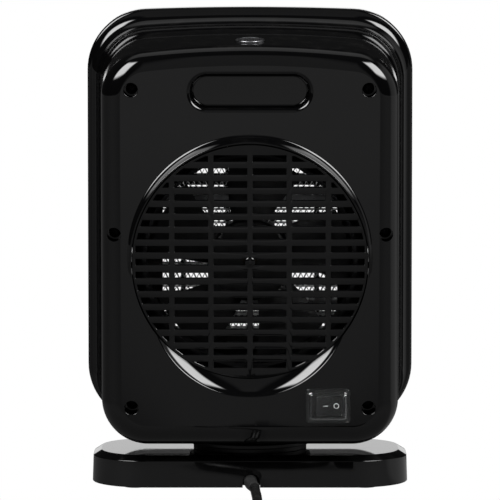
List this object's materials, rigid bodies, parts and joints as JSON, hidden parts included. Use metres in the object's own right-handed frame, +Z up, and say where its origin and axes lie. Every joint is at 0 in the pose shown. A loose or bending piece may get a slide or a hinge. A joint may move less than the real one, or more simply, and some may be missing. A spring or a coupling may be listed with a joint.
{
  "type": "ceramic space heater",
  "caption": "Upright ceramic fan heater: round slotted rear intake, recessed handle, rocker switch under a clear boot, on a low oval base that it swings on.",
  "frame": {"origin": "on the ground under the middle of the base, on the axis that the body swings about", "axes": "+Z up, +Y towards the rear (the intake, the main switch and the cord), -Y towards the front where the warm air leaves, +X to the left seen from behind"},
  "size_m": [0.1954, 0.3613, 0.2806],
  "materials": {
    "gloss_black": "polished black ABS, mirror gloss",
    "satin_black": "fine satin moulded plastic",
    "fan_black": "satin moulded plastic",
    "duct_grey": "heat-resistant moulded plastic, matt",
    "heatproof_frame": "glass-filled heat-proof moulding, matt",
    "rubber": "soft moulded rubber",
    "cord_black": "semi-matt PVC sheath",
    "clear_boot": "clear soft vinyl, slightly cloudy",
    "smoked_window": "smoked acrylic, polished",
    "acetal": "natural acetal, slightly waxy",
    "circuit_board": "green solder mask",
    "button_silver": "brushed silver face",
    "screw_steel": "black-zinc plated steel",
    "motor_steel": "zinc-plated pressed steel",
    "fin_aluminium": "plain aluminium strip",
    "brass": "plain brass"
  },
  "bodies": {
    "base": {"base_cover": "gloss_black", "base_plate": "satin_black", "rubber_foot_1": "rubber", "rubber_foot_2": "rubber", "rubber_foot_3": "rubber", "rubber_foot_4": "rubber", "base_screw_1": "screw_steel", "base_screw_2": "screw_steel", "base_screw_3": "screw_steel", "base_screw_4": "screw_steel", "pivot_post": "satin_black", "swing_gear": "acetal", "turntable_ring": "satin_black", "pivot_retainer": "screw_steel", "cord_gland": "rubber", "power_cord": "cord_black", "cord_coil": "cord_black", "cord_tie": "satin_black", "cord_tail": "cord_black", "plug_body": "cord_black", "plug_blade_1": "brass", "plug_blade_2": "brass"},
    "heater_body": {"swivel_skirt": "satin_black", "swing_motor": "motor_steel", "housing": "gloss_black", "rear_cover": "gloss_black", "rear_grille": "gloss_black", "case_screw_1": "screw_steel", "case_screw_2": "screw_steel", "case_screw_3": "screw_steel", "case_screw_4": "screw_steel", "case_screw_5": "screw_steel", "case_screw_6": "screw_steel", "front_fascia": "gloss_black", "outlet_grille": "satin_black", "display_window": "smoked_window", "display_board": "circuit_board", "fan_duct": "duct_grey", "fan_motor": "motor_steel", "heater_frame": "heatproof_frame", "heater_fin_1": "fin_aluminium", "heater_fin_2": "fin_aluminium", "heater_fin_3": "fin_aluminium", "heater_fin_4": "fin_aluminium", "heater_fin_5": "fin_aluminium", "ptc_bar_1": "fin_aluminium", "ptc_bar_2": "fin_aluminium", "ptc_bar_3": "fin_aluminium", "ptc_bar_4": "fin_aluminium", "thermal_cutout": "motor_steel", "power_board": "circuit_board", "switch_body": "satin_black", "switch_boot": "clear_boot"},
    "pinion": {"swing_pinion": "acetal"},
    "fan": {"fan_impeller": "fan_black", "fan_shaft": "screw_steel", "fan_nut": "brass"},
    "rocker": {"switch_rocker": "satin_black"},
    "button": {"standby_button": "button_silver"}
  },
  "joints": [
    {"name": "oscillation", "type": "hinge", "parent": "base", "child": "heater_body", "pos_m": [0, 0, 0.0226], "axis": [0, 0, 1], "range_deg": [-35, 35]},
    {"name": "pinion_spin", "type": "hinge", "parent": "heater_body", "child": "pinion", "pos_m": [0, 0.022, 0.0222], "axis": [0, 0, 1], "range_deg": [-94, 94]},
    {"name": "fan_spin", "type": "hinge", "parent": "heater_body", "child": "fan", "pos_m": [0, 0.0395, 0.1355], "axis": [0, 1, 0], "continuous": true},
    {"name": "rocker_tilt", "type": "hinge", "parent": "heater_body", "child": "rocker", "pos_m": [-0.0454, 0.0632, 0.0518], "axis": [0, 0, 1], "range_deg": [-24, 0]},
    {"name": "button_press", "type": "slide", "parent": "heater_body", "child": "button", "axis": [0, -0.1219, -0.9925], "range_m": [0, 0.001], "stiffness_N_per_m": 600, "springref_m": -0.002}
  ],
  "couplings": [
    {"joint": "pinion_spin", "follows": "oscillation", "ratio": 2.6667}
  ]
}
